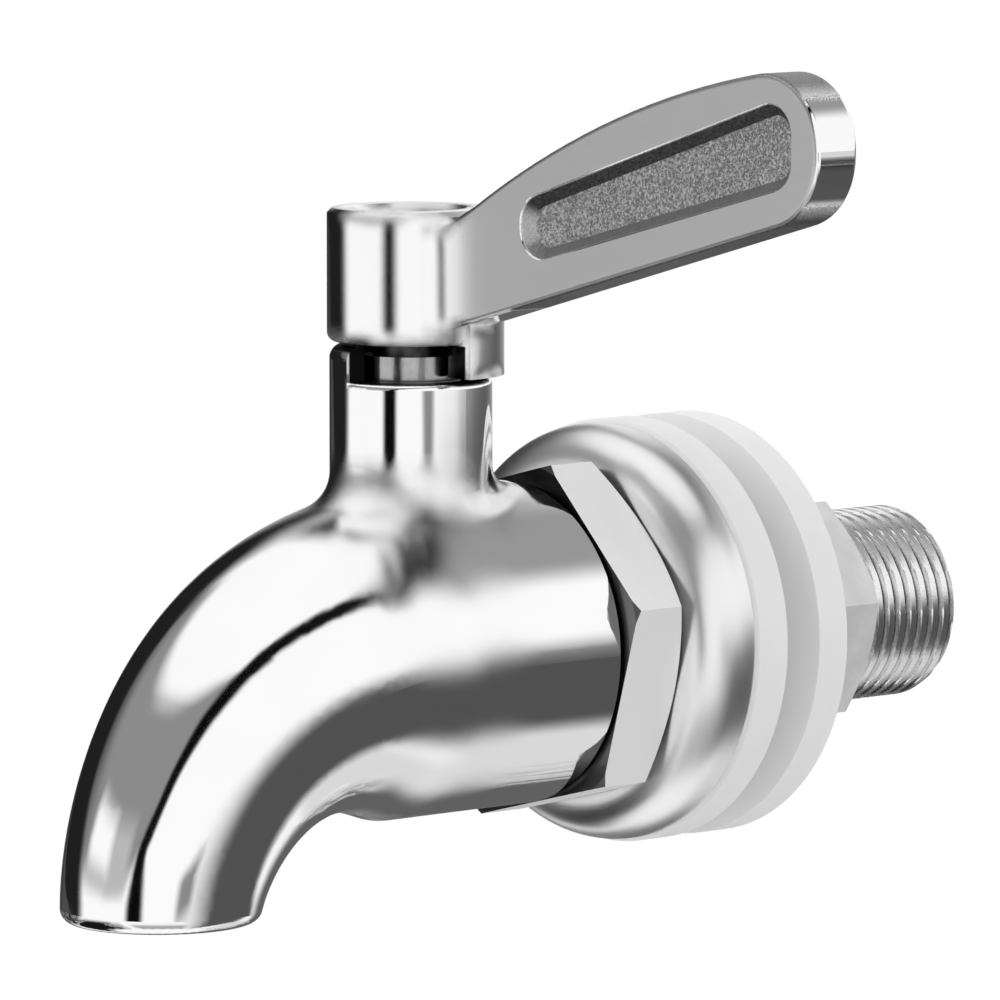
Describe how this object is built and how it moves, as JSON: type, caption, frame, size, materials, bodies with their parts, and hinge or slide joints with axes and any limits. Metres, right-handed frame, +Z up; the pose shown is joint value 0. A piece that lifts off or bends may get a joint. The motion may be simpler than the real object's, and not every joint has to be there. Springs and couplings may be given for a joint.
{
  "type": "beverage dispenser spigot",
  "caption": "Lever-operated ball valve spigot with a curved spout, domed flange, tapered sealing washers and a clamp nut on a threaded shank.",
  "frame": {"origin": "on the shank's axis, in the plane where the two washers meet and a tank wall is clamped", "axes": "+Y along the shank into the tank, +Z up along the valve stem, spout towards -Y, shut lever towards +X"},
  "size_m": [0.0684, 0.0929, 0.0703],
  "materials": {
    "polished_steel": "mirror polished",
    "lever_steel": "satin, with polished edges",
    "machined_steel": "machined",
    "silicone": "milky, slightly see-through",
    "ptfe": "matte",
    "black_rubber": "matte"
  },
  "bodies": {
    "valve": {"spout_body": "polished_steel", "tailpiece": "polished_steel", "body_gasket": "ptfe", "front_seat": "ptfe", "rear_seat": "ptfe", "stem_thrust_washer": "ptfe", "stem_packing": "ptfe", "stem_gland": "machined_steel", "escutcheon": "polished_steel", "silicone_washer_front": "silicone"},
    "lever": {"lever_handle": "lever_steel", "handle_lock_washer": "machined_steel", "handle_screw": "machined_steel", "valve_stem": "machined_steel", "stem_o_ring_lower": "black_rubber", "stem_o_ring_upper": "black_rubber", "valve_ball": "polished_steel"},
    "rear_clamp": {"silicone_washer_rear": "silicone"},
    "nut": {"clamp_nut": "machined_steel"}
  },
  "joints": [
    {"name": "lever_turn", "type": "hinge", "parent": "valve", "child": "lever", "pos_m": [0, -0.02825, 0], "axis": [0, 0, 1], "range_deg": [-90, 0]},
    {"name": "washer_slide", "type": "slide", "parent": "valve", "child": "rear_clamp", "axis": [0, 1, 0], "range_m": [0, 0.00535]},
    {"name": "nut_turn", "type": "hinge", "parent": "rear_clamp", "child": "nut", "pos_m": [0, 0.01148, 0], "axis": [0, 1, 0], "range_deg": [0, 1440]}
  ],
  "couplings": [
    {"joint": "washer_slide", "follows": "nut_turn", "m_per_rad": 0.00021279}
  ]
}
